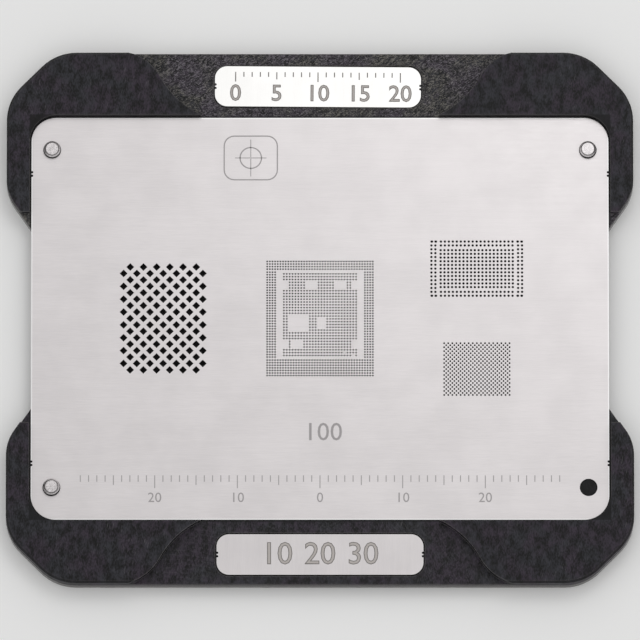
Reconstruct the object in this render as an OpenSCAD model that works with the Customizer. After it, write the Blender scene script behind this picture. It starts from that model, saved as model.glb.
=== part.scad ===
// Solder paste stencil for phone chips, lying on its magnetic base.
// X runs along the long side, Y to the rear, Z up. The origin is the centre of the underside.

/* [Stencil sheet] */
// Length of the sheet
stencil_x = 70; // [62:1:90]
// Depth of the sheet
stencil_y = 50; // [44:1:64]
// Thickness of the sheet
stencil_t = 0.12; // [0.08:0.01:0.2]
// Corner radius of the sheet
stencil_r = 3; // [1:0.1:5]
// Distance between the pin holes along X
hole_span_x = 65; // [57:0.5:85]
// Distance between the pin holes along Y
hole_span_y = 42; // [36:0.5:58]
// Play of a pin in its hole, on each side
pin_play = 0.075; // [0.03:0.005:0.2]
// Distance of the break-off marks from the centre line
nick_y = 18; // [12:0.5:19]
// Depth taken off each face where a field of apertures is electropolished
polish = 0.005; // [0.002:0.001:0.01]
// Polished margin round the apertures of a field
polish_margin = 0.035; // [0.02:0.005:0.05]

/* [Left field] */
// Centre of the field along X
left_x = -19; // [-20:0.1:-18]
// Side of a square aperture, which stands on its corner
diamond_side = 0.68; // [0.4:0.01:0.9]
// Step from one column or row to the next
diamond_step = 0.8; // [0.75:0.01:0.82]
// Number of columns
diamond_cols = 13; // [5:2:13]
// Number of rows
diamond_rows = 17; // [5:2:17]

/* [Centre field] */
// Diameter of the finest round apertures
fine_d = 0.21; // [0.16:0.005:0.24]
// Pitch of the outer bands
band_pitch = 0.32; // [0.3:0.005:0.33]
// Apertures across a band
band_cols = 41; // [31:1:41]
// Rows in the rear band
rear_rows = 4; // [2:1:5]
// Rows in the front band
front_rows = 7; // [2:1:8]
// Rows in each side band
side_rows = 34; // [30:1:36]
// Columns in each side band
side_cols = 4; // [2:1:5]
// Distance from the side bands to the rear and front bands
band_gap = 0.38; // [0.34:0.01:0.5]
// Pitch of the inner array
core_pitch = 0.35; // [0.32:0.005:0.36]

/* [Right fields] */
// Centre of both right fields along X
right_x = 19; // [18:0.1:20]
// Centre of the rear right field along Y
memory_y = 6.2; // [6:0.1:7]
// Diameter of the apertures of the rear right field
memory_d = 0.29; // [0.2:0.01:0.32]
// Length of the long apertures at its corners
memory_slot = 0.34; // [0.33:0.01:0.4]
// Pitch of its inner array
memory_pitch = 0.46; // [0.42:0.005:0.47]
// Pitch of the apertures round its edge
memory_rim_pitch = 0.482; // [0.45:0.002:0.49]
// Centre of the front right field along Y
radio_y = -6.3; // [-7:0.1:-6]
// Diameter of the apertures of the front right field
radio_d = 0.225; // [0.16:0.005:0.25]
// Step from one column or row to the next
radio_step = 0.2475; // [0.22:0.0005:0.25]
// Number of columns
radio_cols = 33; // [11:2:33]
// Number of rows
radio_rows = 27; // [11:2:27]

/* [Base] */
// Width of the rim beside the sheet
rim_x = 3; // [2:0.1:5]
// Width of the rim before and behind the sheet
rim_y = 8; // [6.5:0.1:11]
// Thickness of the floor that the sheet lies on
floor_t = 2; // [1.6:0.1:4]
// Height of the corner blocks above the floor
block_h = 1; // [0.6:0.1:2]
// Gap between the sheet and the blocks
seat_gap = 0.2; // [0.1:0.05:0.4]
// Leg of each corner's 45 degree cut
corner_leg = 6; // [4:0.5:8]
// Radius that blends the cut corners
corner_r = 6; // [2:0.5:7]
// Bevel along the outer edges
edge_bevel = 0.25; // [0.1:0.05:0.4]
// Distance from the centre line at which each side starts to slope inward
flank_y = 15.5; // [14:0.5:17]
// Angle of that slope to the side
flank_angle = 35; // [25:1:42]
// Radius at the start of the slope
flank_r = 5.5; // [3:0.5:7]
// Depth of the finger gap under the edge of the sheet
finger_depth = 2; // [1:0.1:3]
// Radius inside the finger gap
finger_r = 4; // [1:0.5:5]
// Distance from the centre line to the side ends of the blocks
block_end_y = 13.1; // [12.5:0.1:14]
// Half width of the open floor where it meets the sheet
floor_half = 14.4; // [13.6:0.1:20]
// Radius of the hollow stretch of the blocks' curved ends
hollow_r = 10.8; // [8:0.1:12]

/* [Pockets and magnets] */
// Depth of the pockets that the chips lie in
chip_depth = 0.9; // [0.5:0.05:1.2]
// Margin of a chip pocket round its field of apertures
chip_margin = 0.6; // [0.4:0.05:0.8]
// Radius of the corner reliefs of a chip pocket
relief_r = 0.5; // [0.3:0.05:0.6]
// Diameter of a magnet
magnet_d = 4; // [2.5:0.1:4.4]
// Thickness of a magnet
magnet_t = 1; // [0.8:0.1:1.2]
// Depth of a magnet's top face under the floor
magnet_sink = 0.05; // [0.02:0.01:0.1]
// Gap round a magnet
magnet_gap = 0.05; // [0.02:0.01:0.1]
// Distance of the outer rows of magnets from the centre line
magnet_row_y = 15; // [13.5:0.5:18]
// Distance of the inner pairs of magnets from the centre line
magnet_pair_y = 4.5; // [3:0.5:6]

/* [Pins] */
// Diameter of a locating pin
pin_d = 2; // [1.5:0.1:2.2]
// Height of a pin above the sheet
pin_rise = 0.66; // [0.4:0.02:0.9]
// Bevel at the tip of a pin
pin_bevel = 0.21; // [0.1:0.01:0.3]
// Distance of a pin's lower end above the underside
pin_recess = 0.2; // [0.1:0.05:0.4]
// Gap round a pin in its bore
pin_fit = 0.005; // [0.002:0.001:0.02]

/* [Marking plates] */
// Length of a plate
plate_x = 25; // [20:0.5:26]
// Depth of a plate
plate_y = 5; // [4:0.1:5.4]
// Thickness of a plate
plate_t = 0.4; // [0.2:0.05:0.6]
// Corner radius of a plate
plate_r = 1.5; // [0.5:0.1:2]
// Height of a plate above the floor round it
plate_proud = 0.05; // [0:0.01:0.1]
// Gap round a plate in its pocket
plate_gap = 0.18; // [0.15:0.01:0.3]
// Distance of the rear plate's centre line from the rear edge
rear_plate_inset = 4.1; // [3.8:0.1:4.3]
// Sideways shift of the rear plate
rear_plate_shift = -0.25; // [-0.5:0.05:0.5]
// Turn of the rear plate in its pocket, in degrees
rear_plate_turn = -0.4; // [-0.5:0.1:0.5]
// Distance of the front plate's centre line from the front edge
front_plate_inset = 3.7; // [3.6:0.1:4.3]

/* [Hidden] */
MAGNETS = 12;

arc_steps = 8;      // facets of a blended corner
through = 1;        // how far a cutter runs past what it cuts
nick_d = 0.3;       // diameter of a break-off mark
nick_step = 0.43;   // distance between the two marks of a pair
nick_in = 0.06;     // how far a mark's centre lies inside the edge
magnet_bevel = 0.12;
curve_start = 25;   // direction of a block's curved end at the sheet
curve_middle = 62;  // direction where it turns from hollow to round
curve_end = 15;     // direction where it meets the outer edge

base_x = stencil_x + 2 * rim_x;
base_y = stencil_y + 2 * rim_y;
base_h = floor_t + block_h;
waist_x = stencil_x / 2 - finger_depth;
seat_x = stencil_x / 2 + seat_gap;
seat_y = stencil_y / 2 + seat_gap;
pin_at = [hole_span_x / 2, hole_span_y / 2];
pocket_depth = plate_t - plate_proud;
rear_plate_at = [rear_plate_shift, base_y / 2 - rear_plate_inset];
front_plate_at = [0, front_plate_inset - base_y / 2];

// The round stretch of a block's curved end takes up what the hollow one leaves.
curve_rise = base_y / 2 - seat_y;
round_r = (curve_rise - hollow_r * (cos(curve_start) - cos(curve_middle)))
          / (cos(curve_end) - cos(curve_middle));

// Half sizes of the centre field, and the middle of its inner array.
band_half = [(band_cols - 1) * band_pitch / 2,
             ((rear_rows + front_rows + side_rows - 3) * band_pitch) / 2 + band_gap];
rear_band_y = band_half[1] - (rear_rows - 1) * band_pitch / 2;
front_band_y = (front_rows - 1) * band_pitch / 2 - band_half[1];
side_band_x = band_half[0] - (side_cols - 1) * band_pitch / 2;
core_y = (front_rows - rear_rows) * band_pitch / 2;
core_cols = 26;
core_rows = 30;

// The blanks of the inner array: first column, last column, first row, last row, from the rear left.
CORE_BLANKS = [
    [0, 1, 3, 5], [8, 11, 3, 5], [18, 21, 3, 5], [24, 25, 3, 5],
    [2, 8, 15, 20], [12, 14, 16, 19],
    [0, 1, 24, 26], [3, 6, 24, 26], [24, 25, 24, 26],
    [21, 21, 28, 28], [24, 24, 29, 29]
];
function is_blank(c, r) =
    len([for (b = CORE_BLANKS) if (c >= b[0] && c <= b[1] && r >= b[2] && r <= b[3]) 1]) > 0;

// The rear right field: rows and columns of its inner array and of its edge.
memory_cols = 20;
memory_rows = 11;
rim_cols = 19;
rim_rows = 13;
rim_half = [(rim_cols + 3.8) * memory_rim_pitch / 2, (rim_rows + 1) * memory_rim_pitch / 2];

// Size of each field over its apertures.
diamond_half = diamond_side / sqrt(2);
left_size = [(diamond_cols - 1) * diamond_step, (diamond_rows - 1) * diamond_step]
            + 2 * diamond_half * [1, 1];
centre_size = 2 * band_half + fine_d * [1, 1];
memory_size = 2 * rim_half + memory_d * [1, 1];
radio_size = [(radio_cols - 1) * radio_step, (radio_rows - 1) * radio_step] + radio_d * [1, 1];

// Chip pockets: centre and size.
function pocket(at, size) = [at, size + 2 * chip_margin * [1, 1]];
POCKETS = [
    pocket([left_x, 0], left_size),
    pocket([0, 0], centre_size),
    pocket([right_x, memory_y], memory_size),
    pocket([right_x, radio_y], radio_size)
];
function pocket_side(i, way) = POCKETS[i][0][0] + way * POCKETS[i][1][0] / 2;

// Magnets: three behind, three before, two pairs between the pockets and one at each waist.
MAGNET_AT = [
    for (y = [magnet_row_y, -magnet_row_y], x = [left_x, 0, right_x]) [x, y],
    for (x = [(pocket_side(0, 1) + pocket_side(1, -1)) / 2, (pocket_side(1, 1) + pocket_side(2, -1)) / 2],
         y = [magnet_pair_y, -magnet_pair_y]) [x, y],
    [(pocket_side(0, -1) - waist_x) / 2, 0],
    [(pocket_side(2, 1) + waist_x) / 2, 0]
];

// ---- outlines ----

function unit(v) = v / norm(v);
function turned(v, a) = [v[0] * cos(a) - v[1] * sin(a), v[0] * sin(a) + v[1] * cos(a)];

// A closed path of corners [x, y, radius] with each corner rounded to its radius.
function blended(corners) = [
    for (i = [0:len(corners) - 1])
        let (n = len(corners),
             p = corners[i],
             here = [p[0], p[1]],
             before = corners[(i + n - 1) % n],
             after = corners[(i + 1) % n],
             u = unit(here - [before[0], before[1]]),
             v = unit([after[0], after[1]] - here),
             turn = atan2(u[0] * v[1] - u[1] * v[0], u * v),
             way = sign(turn),
             start = here - u * p[2] * tan(abs(turn) / 2),
             centre = start + way * p[2] * [-u[1], u[0]])
        each (p[2] == 0 ? [here]
              : [for (k = [0:arc_steps]) centre + turned(start - centre, turn * k / arc_steps)])
];

// A rectangle with 45 degree corners, drawn in by the same distance all round.
function cut_corner_path(x, y, leg, r, inset) =
    let (a = x / 2 - inset, b = y / 2 - inset, l = leg - (2 - sqrt(2)) * inset, q = r - inset)
    blended([[a, l - b, q], [a, b - l, q], [a - l, b, q], [l - a, b, q],
             [-a, b - l, q], [-a, l - b, q], [l - a, -b, q], [a - l, -b, q]]);

// The curved end of a block, from the sheet to the outer edge: a hollow arc, then a round one.
function along_hollow(a) = hollow_r * [sin(a) - sin(curve_start), cos(curve_start) - cos(a)];
function along_round(a) = round_r * [sin(curve_middle) - sin(a), cos(a) - cos(curve_middle)];
function share(a, b, k) = a + (b - a) * k / arc_steps;
function block_curve() = let (origin = [floor_half, seat_y]) [
    for (k = [0:arc_steps]) origin + along_hollow(share(curve_start, curve_middle, k)),
    for (k = [1:arc_steps]) origin + along_hollow(curve_middle)
                            + along_round(share(curve_middle, curve_end, k))
];

module rounded_rect(size, r) {
    square([size[0] - 2 * r, size[1]], center = true);
    square([size[0], size[1] - 2 * r], center = true);
    for (x = [-1, 1], y = [-1, 1])
        translate([x * (size[0] / 2 - r), y * (size[1] / 2 - r)]) circle(r = r, $fn = 48);
}

// Two small bites at each end of the short sides, left where the sheet broke off its panel.
module nicks(half_x, y) {
    for (x = [-1, 1], step = [-1, 1])
        translate([x * (half_x - nick_in), y + step * nick_step / 2]) circle(d = nick_d, $fn = 24);
}

// ---- base ----

module envelope() {
    hull() {
        linear_extrude(base_h)
            polygon(cut_corner_path(base_x, base_y, corner_leg, corner_r, edge_bevel));
        translate([0, 0, edge_bevel]) linear_extrude(base_h - 2 * edge_bevel)
            polygon(cut_corner_path(base_x, base_y, corner_leg, corner_r, 0));
    }
}

// The open side between the two blocks of one end, with the finger gap under the sheet.
module flank(way) {
    run = (base_x / 2 - waist_x) / tan(flank_angle);
    edge = base_x / 2 + 0.01;
    far = base_x / 2 + through;
    scale([way, 1]) polygon(blended([
        [far, base_y / 4 + flank_y / 2, 0],
        [edge, base_y / 4 + flank_y / 2, 0],
        [edge, flank_y, flank_r],
        [waist_x, flank_y - run, finger_r],
        [waist_x, run - flank_y, finger_r],
        [edge, -flank_y, flank_r],
        [edge, -base_y / 4 - flank_y / 2, 0],
        [far, -base_y / 4 - flank_y / 2, 0]
    ]));
}

// The open floor before or behind the sheet, between the curved ends of two blocks.
module flare(way) {
    curve = block_curve();
    last = curve[len(curve) - 1];
    beyond = last + through * [1 / tan(curve_end), 1];
    right = concat([[floor_half, seat_y - through]], curve, [beyond]);
    left = [for (i = [len(right) - 1:-1:0]) [-right[i][0], right[i][1]]];
    mirror([0, way < 0 ? 1 : 0]) polygon(concat(right, left));
}

module chip_pocket(p) {
    translate([p[0][0], p[0][1], floor_t - chip_depth]) linear_extrude(chip_depth + through) {
        square(p[1], center = true);
        for (x = [-1, 1], y = [-1, 1])
            translate([x, y] * [[p[1][0] / 2, 0], [0, p[1][1] / 2]] - [x, y] * relief_r / sqrt(2))
                circle(r = relief_r, $fn = 32);
    }
}

module base_plate() {
    color("#2d2b30") difference() {
        envelope();
        translate([0, 0, -through]) linear_extrude(base_h + 2 * through) {
            flank(1);
            flank(-1);
        }
        translate([0, 0, floor_t]) linear_extrude(block_h + through) {
            rounded_rect([2 * seat_x, 2 * seat_y], stencil_r + seat_gap);
            square([base_x + 2 * through, 2 * block_end_y], center = true);
            flare(1);
            flare(-1);
        }
        for (p = POCKETS) chip_pocket(p);
        for (at = MAGNET_AT) translate([at[0], at[1], floor_t - magnet_sink - magnet_t])
            cylinder(d = magnet_d + 2 * magnet_gap, h = magnet_t + magnet_sink + through, $fn = 64);
        for (at = [[-1, 1], [1, 1], [-1, -1]])
            translate([at[0] * pin_at[0], at[1] * pin_at[1], -through])
                cylinder(d = pin_d + 2 * pin_fit, h = base_h + 2 * through, $fn = 64);
        for (at = [rear_plate_at, front_plate_at])
            translate([at[0], at[1], floor_t - pocket_depth]) linear_extrude(pocket_depth + through)
                rounded_rect([plate_x, plate_y] + 2 * plate_gap * [1, 1], plate_r + plate_gap);
    }
}

// ---- sheet ----

// A full grid of places about the middle.
function grid(cols, rows, pitch_x, pitch_y) = [
    for (r = [0:rows - 1], c = [0:cols - 1])
        [(c - (cols - 1) / 2) * pitch_x, ((rows - 1) / 2 - r) * pitch_y]
];
// Every second place of such a grid, like one colour of a chessboard.
function chequer(cols, rows, step, first) = [
    for (r = [0:rows - 1], c = [0:cols - 1]) if ((r + c) % 2 == first)
        [(c - (cols - 1) / 2) * step, ((rows - 1) / 2 - r) * step]
];
function core() = [
    for (r = [0:core_rows - 1], c = [0:core_cols - 1]) if (!is_blank(c, r))
        [(c - (core_cols - 1) / 2) * core_pitch, ((core_rows - 1) / 2 - r) * core_pitch]
];

module holes(places, d) for (p = places) translate(p) circle(d = d, $fn = 24);

module left_field() translate([left_x, 0])
    for (p = chequer(diamond_cols, diamond_rows, diamond_step, 1))
        translate(p) rotate(45) square(diamond_side, center = true);

module band(at, cols, rows) translate(at) holes(grid(cols, rows, band_pitch, band_pitch), fine_d);

module long_aperture(length, d) {
    square([length - d, d], center = true);
    for (way = [-1, 1]) translate([way * (length - d) / 2, 0]) circle(d = d, $fn = 24);
}

module memory_field() translate([right_x, memory_y]) {
    holes(grid(memory_cols, memory_rows, memory_pitch, memory_pitch), memory_d);
    for (way = [-1, 1]) {
        translate([0, way * (rim_half[1] - memory_rim_pitch / 2)])
            holes(grid(rim_cols, 2, memory_rim_pitch, memory_rim_pitch), memory_d);
        translate([way * (rim_half[0] - memory_rim_pitch / 2), 0])
            holes(grid(2, rim_rows, memory_rim_pitch, memory_rim_pitch), memory_d);
        for (end = [-1, 1], k = [0, 1])
            translate([end * (rim_half[0] - (k + 0.1) * memory_rim_pitch), way * rim_half[1]])
                long_aperture(memory_slot, memory_d);
    }
}

module radio_field() translate([right_x, radio_y])
    holes(chequer(radio_cols, radio_rows, radio_step, 0), radio_d);

// Electropolished windows, one round each group of apertures: centre and size.
function window(at, size) = [at, size + 2 * polish_margin * [1, 1]];
function band_size(cols, rows) = [(cols - 1) * band_pitch + fine_d, (rows - 1) * band_pitch + fine_d];
LEFT = window([left_x, 0], left_size);
REAR_BAND = window([0, rear_band_y], band_size(band_cols, rear_rows));
FRONT_BAND = window([0, front_band_y], band_size(band_cols, front_rows));
SIDE_BANDS = [for (way = [-1, 1]) window([way * side_band_x, core_y], band_size(side_cols, side_rows))];
CORE = window([0, core_y], [(core_cols - 1) * core_pitch + fine_d, (core_rows - 1) * core_pitch + fine_d]);
MEMORY = window([right_x, memory_y], memory_size);
RADIO = window([right_x, radio_y], radio_size);
WINDOWS = concat([LEFT, REAR_BAND, FRONT_BAND, CORE, MEMORY, RADIO], SIDE_BANDS);

module window_outline(w) translate(w[0]) square(w[1], center = true);

// A window's own stretch of the sheet, thinner by the polish on both faces, less its apertures.
module polished(w) translate([0, 0, polish]) linear_extrude(stencil_t - 2 * polish) difference() {
    window_outline(w);
    children();
}

module sheet_outline() {
    difference() {
        rounded_rect([stencil_x, stencil_y], stencil_r);
        for (x = [-1, 1], y = [-1, 1]) translate([x * pin_at[0], y * pin_at[1]])
            circle(d = pin_d + 2 * pin_play, $fn = 64);
        for (way = [-1, 1]) nicks(stencil_x / 2, way * nick_y);
        for (w = WINDOWS) window_outline(w);
    }
}

module stencil_sheet() {
    color("#dcdadb") translate([0, 0, floor_t]) {
        linear_extrude(stencil_t) sheet_outline();
        polished(LEFT) left_field();
        polished(REAR_BAND) band(REAR_BAND[0], band_cols, rear_rows);
        polished(FRONT_BAND) band(FRONT_BAND[0], band_cols, front_rows);
        for (w = SIDE_BANDS) polished(w) band(w[0], side_cols, side_rows);
        polished(CORE) translate(CORE[0]) holes(core(), fine_d);
        polished(MEMORY) memory_field();
        polished(RADIO) radio_field();
    }
}

// ---- small pieces ----

module locating_pin(x, y) {
    length = floor_t + stencil_t + pin_rise - pin_recess;
    r = pin_d / 2;
    color("#c9c8ca") translate([x * pin_at[0], y * pin_at[1], pin_recess])
        rotate_extrude($fn = 64) polygon([
            [0, 0], [r - pin_bevel, 0], [r, pin_bevel], [r, length - pin_bevel],
            [r - pin_bevel, length], [0, length]
        ]);
}

module marking_plate(at, turn) {
    color("#d8d6d7") translate([at[0], at[1], floor_t - pocket_depth]) rotate(turn)
        linear_extrude(plate_t) difference() {
            rounded_rect([plate_x, plate_y], plate_r);
            nicks(plate_x / 2, 0);
        }
}

module magnet(at) {
    r = magnet_d / 2;
    color("#b9b7b3") translate([at[0], at[1], floor_t - magnet_sink - magnet_t])
        rotate_extrude($fn = 64) polygon([
            [0, 0], [r - magnet_bevel, 0], [r, magnet_bevel], [r, magnet_t - magnet_bevel],
            [r - magnet_bevel, magnet_t], [0, magnet_t]
        ]);
}

base_plate();
stencil_sheet();
locating_pin(-1, 1);  // pin_rear_left
locating_pin(1, 1);  // pin_rear_right
locating_pin(-1, -1);  // pin_front_left
marking_plate(rear_plate_at, rear_plate_turn);  // marking_plate_rear
marking_plate(front_plate_at, 0);  // marking_plate_front
for (i = [1:MAGNETS]) magnet(MAGNET_AT[i - 1]);
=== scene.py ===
"""Looks of the solder paste stencil on its magnetic base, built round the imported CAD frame.

All lengths are metres. X runs to the right, Y to the rear and Z up, from the centre of the underside.
"""
import math

import bmesh
import bpy
from mathutils import Matrix, Vector


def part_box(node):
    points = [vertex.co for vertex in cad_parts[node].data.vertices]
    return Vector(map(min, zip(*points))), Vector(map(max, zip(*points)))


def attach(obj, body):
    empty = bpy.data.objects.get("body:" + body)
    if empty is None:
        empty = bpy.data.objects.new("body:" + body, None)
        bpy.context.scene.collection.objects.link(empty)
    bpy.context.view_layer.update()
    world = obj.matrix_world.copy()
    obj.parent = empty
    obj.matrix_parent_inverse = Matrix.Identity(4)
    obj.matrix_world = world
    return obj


MM = 0.001

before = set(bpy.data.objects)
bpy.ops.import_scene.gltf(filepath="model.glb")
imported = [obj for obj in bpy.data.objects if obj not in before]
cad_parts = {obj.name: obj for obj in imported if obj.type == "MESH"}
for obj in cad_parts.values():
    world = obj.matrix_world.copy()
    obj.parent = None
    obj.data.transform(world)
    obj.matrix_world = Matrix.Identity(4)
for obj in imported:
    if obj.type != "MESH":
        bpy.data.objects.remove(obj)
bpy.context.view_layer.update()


# ---- places taken from the frame ----

def top_centre(node):
    low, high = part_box(node)
    return Vector(((low[0] + high[0]) / 2, (low[1] + high[1]) / 2, high[2]))


SHEET_LOW, SHEET_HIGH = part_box("stencil_sheet")
# The sheet lies centred, so its rear right corner gives half its length and depth.
SHEET_X = SHEET_HIGH[0]
SHEET_Y = SHEET_HIGH[1]
SHEET_TOP = SHEET_HIGH[2]
FLOOR_Z = SHEET_LOW[2]
# The other pins and the empty hole mirror this pin.
PIN = top_centre("pin_rear_right")
REAR_PLATE = top_centre("marking_plate_rear")
FRONT_PLATE = top_centre("marking_plate_front")
# The rear plate is turned by this in the CAD.
REAR_PLATE_TURN = math.radians(-0.4)


# ---- shaders ----

class Shader:
    """A material with a Principled surface, and short calls for the nodes that feed it."""

    def __init__(self, name, **sockets):
        self.material = bpy.data.materials.new(name)
        self.material.use_nodes = True
        self.tree = self.material.node_tree
        self.surface = self.tree.nodes["Principled BSDF"]
        for key, value in sockets.items():
            self.surface.inputs[key.replace("_", " ")].default_value = value
        self.point = self.add("TexCoord").outputs["Object"]

    def add(self, kind, inputs=None, **settings):
        node = self.tree.nodes.new("ShaderNode" + kind)
        for key, value in settings.items():
            setattr(node, key, value)
        for key, value in (inputs or {}).items():
            if isinstance(value, bpy.types.NodeSocket):
                self.tree.links.new(value, node.inputs[key])
            else:
                node.inputs[key].default_value = value
        return node

    def math(self, operation, a, b=0.0):
        return self.add("Math", {0: a, 1: b}, operation=operation).outputs[0]

    def times(self, *factors):
        product = factors[0]
        for factor in factors[1:]:
            product = self.math("MULTIPLY", product, factor)
        return product

    def plus(self, *terms):
        total = terms[0]
        for term in terms[1:]:
            total = self.math("ADD", total, term)
        return total

    def larger(self, a, b):
        return self.math("MAXIMUM", a, b)

    def ramp(self, value, low, high, to_low=0.0, to_high=1.0):
        inputs = {"Value": value, "From Min": low, "From Max": high, "To Min": to_low, "To Max": to_high}
        return self.add("MapRange", inputs, interpolation_type="SMOOTHSTEP").outputs["Result"]

    def swing(self, noise, reach, low=0.3, high=0.7):
        """From -reach to reach, over the range that most of the noise lies in."""
        return self.ramp(noise, low, high, -reach, reach)

    def both_ways(self, value, low, high):
        """A ramp that runs alike on both sides of zero."""
        return self.ramp(self.math("ABSOLUTE", value), low, high)

    def waves(self, value, step):
        return self.math("SINE", self.times(value, 2 * math.pi / step))

    def grain(self, size, detail=2.0, turn=0.0, shift=(0, 0, 0), distortion=0.0):
        """Noise whose features have this size along each axis, turned about Z."""
        inputs = {"Vector": self.point, "Scale": size, "Rotation": (0, 0, turn), "Location": shift}
        place = self.add("Mapping", inputs, vector_type="TEXTURE").outputs[0]
        inputs = {"Vector": place, "Scale": 1.0, "Detail": detail, "Distortion": distortion}
        return self.add("TexNoise", inputs).outputs["Fac"]

    def mix(self, share, a, b):
        inputs = {"Factor": share, 6: a, 7: b}
        return self.add("Mix", inputs, data_type="RGBA").outputs[2]

    def axes(self):
        return self.add("SeparateXYZ", {0: self.point}).outputs

    def distance(self, x, y):
        """Distance in plan from the Z axis through (x, y)."""
        inputs = {0: self.point, 1: (x, y, 0)}
        apart = self.add("VectorMath", inputs, operation="SUBTRACT").outputs[0]
        flat = self.add("VectorMath", {0: apart, 1: (1, 1, 0)}, operation="MULTIPLY").outputs[0]
        return self.add("VectorMath", {0: flat}, operation="LENGTH").outputs["Value"]

    def facing_up(self):
        normal = self.add("NewGeometry").outputs["Normal"]
        return self.add("SeparateXYZ", {0: normal}).outputs["Z"]

    def edge(self, radius):
        """1 on a sharp edge, 0 at this distance from it."""
        flat, sharp = 0.98, 0.75
        round_normal = self.add("Bevel", {"Radius": radius}).outputs[0]
        normal = self.add("NewGeometry").outputs["Normal"]
        inputs = {0: round_normal, 1: normal}
        alike = self.add("VectorMath", inputs, operation="DOT_PRODUCT").outputs["Value"]
        return self.ramp(alike, flat, sharp)

    def bump(self, height, depth):
        """Depth is what a height of 1 stands for, in metres."""
        inputs = {"Height": height, "Distance": depth, "Strength": 1.0}
        self.feed("Normal", self.add("Bump", inputs).outputs[0])

    def feed(self, socket, value):
        self.tree.links.new(value, self.surface.inputs[socket])


def grey(level, tint=(1.0, 1.0, 1.0)):
    return tuple(level * t for t in tint) + (1.0,)


STEEL_TINT = (1.0, 0.957, 0.962)
WARM_TINT = (1.0, 0.99, 0.975)
NICKEL_TINT = (1.0, 0.97, 0.92)
BROWNISH_TINT = (1.0, 0.94, 0.9)
NEAR_BLACK = grey(0.002)


# ---- steel ----

def brushed_steel(name, level, along, roughness=0.4, contrast=1.0, tint=STEEL_TINT):
    """Fine short brushing along X or Y, over faint long bands and soft clouds.

    It gives the shader and its colour, which the caller feeds in.
    """
    def brushed(run, width, depth):
        return (run, width, depth) if along == "X" else (width, run, depth)

    line_swing, band_swing, cloud_swing = 0.024 * contrast, 0.007 * contrast, 0.02
    rough_swing = 0.05
    groove = 0.0003 * MM
    s = Shader(name, Metallic=1.0)
    lines = s.grain(brushed(1.6 * MM, 0.045 * MM, 1.6 * MM))
    bands = s.grain(brushed(16 * MM, 0.5 * MM, 9 * MM), shift=(0.3, 0.1, 0.2))
    clouds = s.grain((5 * MM,) * 3, detail=4.0, shift=(0.7, 0.4, 0.1))
    # A share of 0.5 gives the level itself.
    share = s.plus(0.5, s.swing(lines, line_swing), s.swing(bands, band_swing), s.swing(clouds, cloud_swing))
    colour = s.mix(share, grey(level - 0.5, tint), grey(level + 0.5, tint))
    s.feed("Roughness", s.ramp(lines, 0.2, 0.8, roughness - rough_swing, roughness + rough_swing))
    s.bump(lines, groove)
    return s, colour


def stencil_material():
    """The sheet's steel, with a painted highlight along its cut edge."""
    cut_edge_highlight_width, cut_edge_highlight_share = 0.16 * MM, 0.75
    s, colour = brushed_steel("stencil_steel", level=0.69, along="X")
    x, y, _ = s.axes()
    at_end = s.both_ways(x, SHEET_X - cut_edge_highlight_width, SHEET_X - cut_edge_highlight_width / 2)
    at_side = s.both_ways(y, SHEET_Y - cut_edge_highlight_width, SHEET_Y - cut_edge_highlight_width / 2)
    # Painted highlight: a pale band along the sheet's cut edge.
    cut_edge_light = s.times(s.larger(at_end, at_side), cut_edge_highlight_share)
    s.feed("Base Color", s.mix(cut_edge_light, colour, grey(0.93)))
    return s.material


def plate_material(name, level, tint):
    """A marking plate's steel, with painted highlights along its edges."""
    edge_highlight_width, plate_edge_highlight_share = 0.1 * MM, 0.7
    s, colour = brushed_steel(name, level, along="Y", roughness=0.46, contrast=0.9, tint=tint)
    # Painted highlight: the plate's sharp edges are mixed towards near white.
    s.feed("Base Color", s.mix(s.times(s.edge(edge_highlight_width), plate_edge_highlight_share), colour, grey(0.98)))
    return s.material


def mark_material(name, level, tint=STEEL_TINT):
    """Etched marks: dull and rough."""
    spot, spread, relief = 0.12 * MM, 0.15, 0.001 * MM
    s = Shader(name, Metallic=1.0)
    spots = s.grain((spot,) * 3, detail=3.0)
    s.feed("Base Color", s.mix(spots, grey(level * (1 - spread), tint), grey(level * (1 + spread), tint)))
    s.feed("Roughness", s.ramp(spots, 0.3, 0.7, 0.55, 0.7))
    s.bump(spots, relief)
    return s.material


def pin_material():
    """Turned steel: rings round the pin's axis, tool marks, a dark line round the tip and painted shade on
    the sides.
    """
    tip_radius, line, line_fade = 0.79 * MM, 0.03 * MM, 0.09 * MM
    ring_step, ring_share, line_share = 0.14 * MM, 0.2, 0.8
    spot, relief = 0.22 * MM, 0.004 * MM
    s = Shader("pin_steel", Metallic=1.0)
    x, y, _ = s.axes()
    dx = s.math("SUBTRACT", s.math("ABSOLUTE", x), PIN.x)
    dy = s.math("SUBTRACT", s.math("ABSOLUTE", y), PIN.y)
    radius = s.math("SQRT", s.plus(s.times(dx, dx), s.times(dy, dy)))
    spots = s.grain((spot,) * 3, detail=3.0, distortion=1.5)
    height = s.plus(s.times(s.waves(radius, ring_step), ring_share), s.swing(spots, 0.5, 0.35, 0.65))
    metal = s.mix(s.ramp(spots, 0.3, 0.7), grey(0.46, STEEL_TINT), grey(0.8, STEEL_TINT))
    round_tip = s.both_ways(s.math("SUBTRACT", radius, tip_radius), line_fade, line)
    # Painted shade: the sides of the pins, which face away from up, are darkened.
    side = s.ramp(s.facing_up(), 0.5, 0.3)
    dark = s.larger(s.times(round_tip, line_share), side)
    s.feed("Base Color", s.mix(dark, metal, grey(0.05, BROWNISH_TINT)))
    s.feed("Roughness", s.ramp(spots, 0.3, 0.7, 0.25, 0.4))
    s.bump(height, relief)
    return s.material


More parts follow.
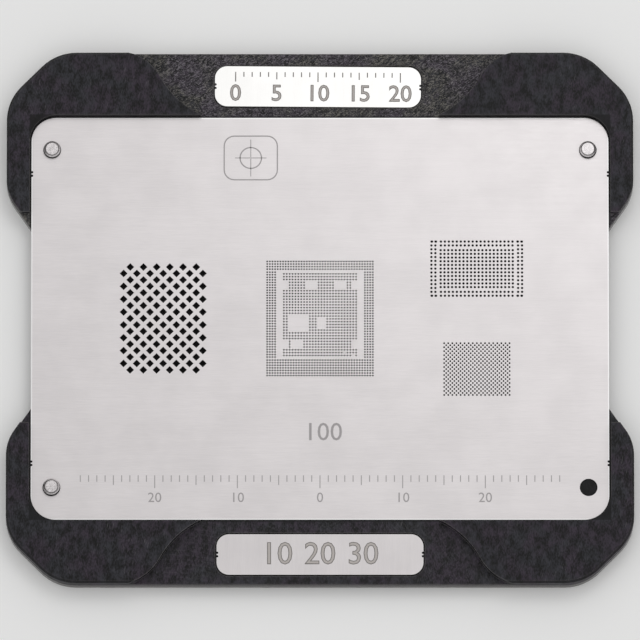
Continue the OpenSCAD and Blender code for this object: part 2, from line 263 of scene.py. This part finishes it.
def magnet_material():
    """Nickel plate, nearly plain: the magnets lie under the sheet."""
    spot, relief = 0.5 * MM, 0.002 * MM
    s = Shader("magnet_nickel", Metallic=1.0)
    spots = s.grain((spot,) * 3, detail=4.0)
    s.feed("Base Color", s.mix(spots, grey(0.5, NICKEL_TINT), grey(0.68, NICKEL_TINT)))
    s.feed("Roughness", s.ramp(spots, 0.3, 0.7, 0.18, 0.3))
    s.bump(spots, relief)
    return s.material


# ---- glass fibre composite ----

BLUISH = (0.031, 0.031, 0.038, 1.0)
PURPLISH = (0.038, 0.029, 0.042, 1.0)
SCRATCH = (0.12, 0.117, 0.125, 1.0)
SANDY_FIBRE = (0.20, 0.188, 0.168, 1.0)
PURPLE_FIBRE = (0.188, 0.172, 0.194, 1.0)
CUTTER_MARK = (0.09, 0.088, 0.094, 1.0)
EDGE_HIGHLIGHT = (0.15, 0.141, 0.137, 1.0)
LOW_WALL_REFLECTION = (0.055, 0.05, 0.047, 1.0)


def mottling(s, weave, cast):
    """Near black mottling, here bluish and there purple."""
    reach, low, high = 0.36, 0.32, 0.68
    clouds = s.grain((0.9 * MM, 1.6 * MM, 1 * MM), detail=5.0)
    tone = s.plus(0.5, s.swing(clouds, reach, low, high), s.swing(weave, reach, low, high))
    light = s.mix(cast, BLUISH, PURPLISH)
    return s.mix(s.larger(tone, 0.0), NEAR_BLACK, light)


def scratching(s):
    """The share of sparse scratches, in patches: steep ones, and fainter ones that lie flat."""
    flat_share, scratch_share = 0.6, 0.6
    steep = s.ramp(s.grain((0.1 * MM, 1.3 * MM, 1 * MM), turn=math.radians(-12)), 0.63, 0.73)
    flat = s.ramp(s.grain((1.5 * MM, 0.08 * MM, 1 * MM), turn=math.radians(9)), 0.68, 0.76)
    patches = s.ramp(s.grain((4 * MM, 5 * MM, 4 * MM), detail=1.0, shift=(0.9, 0.2, 0.4)), 0.42, 0.6)
    return s.times(s.larger(steep, s.times(flat, flat_share)), patches, scratch_share)


def cut_fibres(s):
    """The share of cut glass fibres, short ones and fainter long ones."""
    long_share = 0.8
    short = s.grain((0.5 * MM, 0.24 * MM, 0.3 * MM), distortion=2.4, shift=(0.1, 0.8, 0.3))
    long = s.grain((1.1 * MM, 0.2 * MM, 0.3 * MM), turn=0.7, distortion=1.4)
    return s.larger(s.ramp(short, 0.52, 0.62), s.times(s.ramp(long, 0.55, 0.64), long_share))


def milled_floor(s, colour, weave, cast, on_floor, to_rear):
    """Fibres and pits, dense at the rear, and faint arcs of the cutter. Gives the colour and the fibres."""
    pit, pit_share = 0.4 * MM, 0.9
    arc_step, arc_share = 0.55 * MM, 0.16
    arc_centre = (-18 * MM, -52 * MM)
    fibres = s.times(cut_fibres(s), on_floor, s.ramp(to_rear, 0.0, 1.0, 0.05, 0.8))
    colour = s.mix(fibres, colour, s.mix(cast, SANDY_FIBRE, PURPLE_FIBRE))
    pits = s.ramp(s.grain((pit,) * 3, detail=3.0, distortion=1.5, shift=(0.3, 0.3, 0.8)), 0.47, 0.36)
    colour = s.mix(s.times(pits, on_floor, to_rear, pit_share), colour, grey(0.004))
    arcs = s.ramp(s.waves(s.distance(*arc_centre), arc_step), 0.5, 1.0)
    arcs = s.times(arcs, s.ramp(weave, 0.4, 0.6), on_floor, arc_share)
    return s.mix(arcs, colour, CUTTER_MARK), fibres


def worn_edges(s, colour, weave, slope):
    """Painted shade on the bevels, and a painted highlight along the sharp edges everywhere else."""
    edge_highlight_width, bevel_shade_share = 0.2 * MM, 0.6
    # Painted shade: faces that slope like a bevel are darkened.
    colour = s.mix(s.times(slope, bevel_shade_share), colour, grey(0.006))
    # Painted highlight: a pale line along sharp edges, varied by the weave.
    edge_light_mask = s.times(s.edge(edge_highlight_width), s.math("SUBTRACT", 1.0, slope), s.ramp(weave, 0.2, 0.6, 0.35, 0.75))
    return s.mix(edge_light_mask, colour, EDGE_HIGHLIGHT)


def sooty_seat(s, colour, x, y):
    """Painted shade: black under the sheet and a little way round it, as the shadowed gap looks there."""
    gap, seat_shade_share = 0.3 * MM, 0.75
    in_x = s.both_ways(x, SHEET_X + gap, SHEET_X + gap / 2)
    in_y = s.both_ways(y, SHEET_Y + gap, SHEET_Y + gap / 2)
    return s.mix(s.times(in_x, in_y, seat_shade_share), colour, NEAR_BLACK)


def base_material():
    """Black composite: mottled scratched block tops, a rough-milled floor and smooth outer walls."""
    wall_reflection_share, wall_polish = 0.8, 0.38
    relief = 0.012 * MM
    s = Shader("base_composite", Specular_IOR_Level=0.22)
    x, y, z = s.axes()
    on_floor = s.ramp(z, FLOOR_Z + 0.4 * MM, FLOOR_Z + 0.2 * MM)
    to_rear = s.ramp(y, -14 * MM, 22 * MM)
    up = s.facing_up()
    wall = s.ramp(up, 0.4, 0.2)
    slope = s.times(s.ramp(up, 0.95, 0.8), s.ramp(up, 0.4, 0.6))
    weave = s.grain((0.14 * MM, 0.34 * MM, 0.3 * MM), detail=3.0, shift=(0.2, 0.5, 0.1))
    cast = s.ramp(s.grain((3.5 * MM,) * 3, detail=3.0, shift=(0.6, 0.2, 0.7)), 0.4, 0.6)

    scratches = scratching(s)
    colour = s.mix(scratches, mottling(s, weave, cast), SCRATCH)
    colour, fibres = milled_floor(s, colour, weave, cast, on_floor, to_rear)
    colour = worn_edges(s, colour, weave, slope)
    colour = sooty_seat(s, colour, x, y)

    # The lower half of the walls is smoother, and paler by a painted reflection of the pale floor.
    low_wall = s.times(wall, s.ramp(z, 1.55 * MM, 1.25 * MM))
    s.feed("Base Color", s.mix(s.times(low_wall, wall_reflection_share), colour, LOW_WALL_REFLECTION))
    rough = s.ramp(weave, 0.3, 0.7, 0.46, 0.6)
    s.feed("Roughness", s.math("SUBTRACT", rough, s.times(low_wall, wall_polish)))
    height = s.plus(s.times(weave, 0.4), s.times(fibres, 0.6), s.times(scratches, -0.4))
    s.bump(s.times(height, s.math("SUBTRACT", 1.0, wall)), relief)
    return s.material


def give(node, material):
    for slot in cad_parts[node].material_slots:
        slot.material = material


def dress_cad():
    give("base_plate", base_material())
    give("stencil_sheet", stencil_material())
    # The plates are one steel: the rear one is painted brighter and the front one darker, as painted light
    # and shade.
    give("marking_plate_rear", plate_material("plate_steel_rear_painted_lit", level=0.98, tint=WARM_TINT))
    give("marking_plate_front", plate_material("plate_steel_front_painted_shaded", level=0.68, tint=STEEL_TINT))
    pin = pin_material()
    magnet = magnet_material()
    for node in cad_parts:
        if node.startswith("pin_"):
            give(node, pin)
        if node.startswith("magnet_"):
            give(node, magnet)


# ---- etched marks ----

class Marks:
    """Flat marks on one plate, as thin slabs in the plate's own plane, joined into one mesh."""

    def __init__(self, centre, turn=0.0, thickness=0.006 * MM):
        self.mesh = bmesh.new()
        self.thickness = thickness
        self.centre = centre
        self.turn = turn

    def outline(self, points, hole=None):
        """A slab inside a closed line of points, or between it and a second line of as many points."""
        bm = self.mesh
        rings = [points] if hole is None else [points, hole]
        lower = [[bm.verts.new((x, y, 0)) for x, y in ring] for ring in rings]
        upper = [[bm.verts.new((x, y, self.thickness)) for x, y in ring] for ring in rings]
        count = len(points)
        for i in range(count):
            j = (i + 1) % count
            bm.faces.new((lower[0][i], lower[0][j], upper[0][j], upper[0][i]))
            if hole is not None:
                bm.faces.new((lower[1][j], lower[1][i], upper[1][i], upper[1][j]))
                bm.faces.new((upper[0][i], upper[0][j], upper[1][j], upper[1][i]))
                bm.faces.new((lower[0][j], lower[0][i], lower[1][i], lower[1][j]))
        if hole is None:
            bm.faces.new(upper[0])
            bm.faces.new(lower[0][::-1])

    def bar(self, x, y, width, height):
        a, b = width / 2, height / 2
        self.outline([(x - a, y - b), (x + a, y - b), (x + a, y + b), (x - a, y + b)])

    def ring(self, x, y, radius, line):
        facets = 40
        angles = [2 * math.pi * k / facets for k in range(facets)]

        def circle(r):
            return [(x + r * math.cos(a), y + r * math.sin(a)) for a in angles]
        self.outline(circle(radius + line / 2), circle(radius - line / 2))

    def rounded_frame(self, x, y, width, height, radius, line):
        corner_facets = 6
        corners = ((1, 1, 0), (-1, 1, 90), (-1, -1, 180), (1, -1, 270))

        def loop(r):
            points = []
            for way_x, way_y, start in corners:
                cx = x + way_x * (width / 2 - radius)
                cy = y + way_y * (height / 2 - radius)
                for k in range(corner_facets + 1):
                    a = math.radians(start + 90 * k / corner_facets)
                    points.append((cx + r * math.cos(a), cy + r * math.sin(a)))
            return points
        self.outline(loop(radius), loop(radius - line))

    def number(self, value, x, y, height, bold=0.0):
        """A plain number, centred on (x, y)."""
        figure_share = 0.7  # height of a figure over the size of its font
        curve = bpy.data.curves.new("number", "FONT")
        curve.body = str(value)
        curve.size = height / figure_share
        curve.align_x = "CENTER"
        curve.align_y = "CENTER"
        curve.offset = bold
        curve.extrude = self.thickness / 2
        curve.resolution_u = 3
        text = bpy.data.objects.new("number", curve)
        bpy.context.scene.collection.objects.link(text)
        shape = bpy.data.meshes.new_from_object(text.evaluated_get(bpy.context.evaluated_depsgraph_get()))
        shape.transform(Matrix.Translation((x, y, self.thickness / 2)))
        self.mesh.from_mesh(shape)
        bpy.data.meshes.remove(shape)
        bpy.data.objects.remove(text)
        bpy.data.curves.remove(curve)

    def scale(self, half, y, long_tick, line):
        """Ticks at whole millimetres to both sides of the middle, down from y, longer at fives and tens."""
        for k in range(-half, half + 1):
            length = long_tick * (1.0 if k % 10 == 0 else 0.75 if k % 5 == 0 else 0.5)
            self.bar(k * MM, y - length / 2, line, length)

    def finish(self, name, material):
        mesh = bpy.data.meshes.new(name)
        self.mesh.to_mesh(mesh)
        self.mesh.free()
        mesh.transform(Matrix.Translation(self.centre) @ Matrix.Rotation(self.turn, 4, "Z"))
        mesh.materials.append(material)
        piece = bpy.data.objects.new(name, mesh)
        bpy.context.scene.collection.objects.link(piece)
        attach(piece, "root")


def draw_target(marks, x, y):
    """A cross over a ring in a rounded frame. The cross is a bar and two arms that stop short of it."""
    line, hair = 0.15 * MM, 0.1 * MM
    marks.rounded_frame(x, y, width=6.6 * MM, height=5.6 * MM, radius=1.3 * MM, line=line)
    marks.ring(x, y, radius=1.3 * MM, line=line)
    marks.bar(x, y, width=3.8 * MM, height=hair)
    for way in (-1, 1):
        marks.bar(x, y + way * 1.2 * MM, width=hair, height=2.2 * MM)


def mark_sheet():
    """On the sheet: an alignment target, a millimetre scale with its numbers, and a plain number."""
    marks = Marks(Vector((0, 0, SHEET_TOP)))
    draw_target(marks, x=-8.4 * MM, y=20 * MM)
    marks.scale(half=29, y=-19.5 * MM, long_tick=1.6 * MM, line=0.11 * MM)
    for k in range(-20, 21, 10):
        marks.number(abs(k), x=k * MM, y=-22.3 * MM, height=1.2 * MM)
    marks.number(100, x=0.4 * MM, y=-14.2 * MM, height=2.2 * MM)
    marks.finish("sheet_marks", mark_material("sheet_mark_steel", level=0.42))


def mark_rear_plate(part, bold, thickness, material):
    """A scale over its numbers. The ticks are in the outlines only."""
    half_scale, figure_y, figure_height = 10, -0.9 * MM, 2.0 * MM
    marks = Marks(REAR_PLATE, REAR_PLATE_TURN, thickness)
    if part == "outlines":
        marks.scale(half_scale, y=1.8 * MM, long_tick=1.2 * MM, line=0.13 * MM)
    for k in range(0, 2 * half_scale + 1, 5):
        marks.number(k, (k - half_scale) * MM, figure_y, figure_height, bold)
    marks.finish("rear_plate_" + part, material)


def mark_front_plate(part, bold, thickness, material):
    """Three plain numbers."""
    spacing, figure_height = 5.2 * MM, 2.7 * MM
    marks = Marks(FRONT_PLATE, thickness=thickness)
    for k in (1, 2, 3):
        marks.number(10 * k, (k - 2) * spacing, 0.0, figure_height, bold)
    marks.finish("front_plate_" + part, material)


def mark_plates():
    """Each figure is a wide dark outline, with a narrower and paler fill that stands a little higher."""
    widening = 0.05 * MM
    outline = mark_material("mark_outline_steel", level=0.24, tint=BROWNISH_TINT)
    fill = mark_material("mark_fill_steel", level=0.52, tint=BROWNISH_TINT)
    for look in (("outlines", widening, 0.006 * MM, outline), ("fills", -widening, 0.01 * MM, fill)):
        mark_rear_plate(*look)
        mark_front_plate(*look)


# ---- stage ----

def make_floor():
    """Pale paper, clear from below and to the underside that lies on it, so that light gets there."""
    half, cloud = 3.0, 0.4
    gap, near = 0.02 * MM, 0.1 * MM
    mesh = bpy.data.meshes.new("floor")
    corners = [(-half, -half, 0), (half, -half, 0), (half, half, 0), (-half, half, 0)]
    mesh.from_pydata(corners, [], [(0, 1, 2, 3)])
    floor = bpy.data.objects.new("floor", mesh)
    floor.location.z = -gap
    bpy.context.scene.collection.objects.link(floor)
    s = Shader("floor_paper", Roughness=0.9, Specular_IOR_Level=0.1)
    tint = s.grain((cloud,) * 3, detail=1.0)
    s.feed("Base Color", s.mix(tint, (0.91, 0.91, 0.905, 1.0), (0.93, 0.93, 0.925, 1.0)))
    below = s.add("NewGeometry").outputs["Backfacing"]
    at_underside = s.math("LESS_THAN", s.add("LightPath").outputs["Ray Length"], near)
    clear = s.add("BsdfTransparent").outputs[0]
    inputs = {0: s.larger(below, at_underside), 1: s.surface.outputs[0], 2: clear}
    shown = s.add("MixShader", inputs).outputs[0]
    s.tree.links.new(shown, s.tree.nodes["Material Output"].inputs["Surface"])
    mesh.materials.append(s.material)


def area_lamp(name, place, aim, size, strength):
    """A square soft light. Strength is the radiance of its face."""
    data = bpy.data.lights.new(name, "AREA")
    data.shape = "SQUARE"
    data.size = size
    data.energy = strength * math.pi * size * size
    lamp = bpy.data.objects.new(name, data)
    lamp.location = place
    lamp.rotation_euler = (Vector(aim) - Vector(place)).to_track_quat("-Z", "Y").to_euler()
    lamp.visible_camera = False
    bpy.context.scene.collection.objects.link(lamp)


def light():
    """An even sky, and one near lamp to the rear right, which makes that side of the steel brighter."""
    world = bpy.data.worlds.new("studio")
    world.use_nodes = True
    sky = world.node_tree.nodes["Background"].inputs
    sky["Color"].default_value = grey(1.0)
    sky["Strength"].default_value = 0.76
    bpy.context.scene.world = world
    place = (55 * MM, 125 * MM, 260 * MM)
    aim = (15 * MM, 10 * MM, 0)
    area_lamp("key", place, aim, size=120 * MM, strength=1.5)


def make_camera():
    """A long lens, so that the view has hardly any perspective."""
    elevation = math.radians(76.8)
    view_width = 77.6 * MM
    aim = Vector((0, 0.3 * MM, 0))
    near_share, far_share = 0.1, 10
    data = bpy.data.cameras.new("camera")
    data.sensor_width = 36.0
    data.lens = 1400.0
    distance = view_width * data.lens / data.sensor_width
    camera = bpy.data.objects.new("camera", data)
    back = Vector((0, -math.cos(elevation), math.sin(elevation)))
    camera.location = aim + back * distance
    camera.rotation_euler = (-back).to_track_quat("-Z", "Y").to_euler()
    data.clip_start = distance * near_share
    data.clip_end = distance * far_share
    bpy.context.scene.collection.objects.link(camera)
    bpy.context.scene.camera = camera


make_camera()
dress_cad()
mark_sheet()
mark_plates()
make_floor()
light()

bpy.context.scene.view_settings.view_transform = "Standard"
